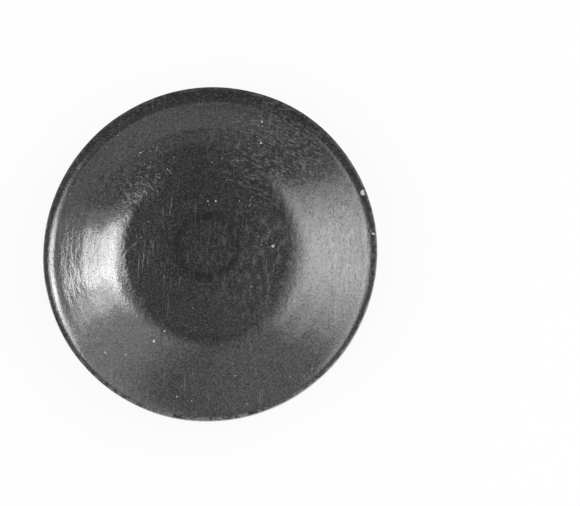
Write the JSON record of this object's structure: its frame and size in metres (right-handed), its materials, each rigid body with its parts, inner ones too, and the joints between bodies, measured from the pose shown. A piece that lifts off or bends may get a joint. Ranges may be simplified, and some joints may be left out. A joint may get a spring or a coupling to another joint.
{
  "type": "hole plug",
  "caption": "Push-in hole plug: shallow round head with a thin flexible rim, over a short hollow stem whose barb snaps behind a sheet-metal panel.",
  "frame": {"origin": "on the plug's axis, in the plane of the rim's sealing face, which is the outer face of the panel when the plug is in place", "axes": "+Z along the axis, from the stem towards the crown of the head; the plug is round, so X and Y are any two directions square to it"},
  "size_m": [0.0254, 0.0254, 0.0067],
  "materials": {
    "black_plastic": "satin, as moulded, with fine scratches"
  },
  "bodies": {
    "root": {"hole_plug": "black_plastic"}
  },
  "joints": []
}
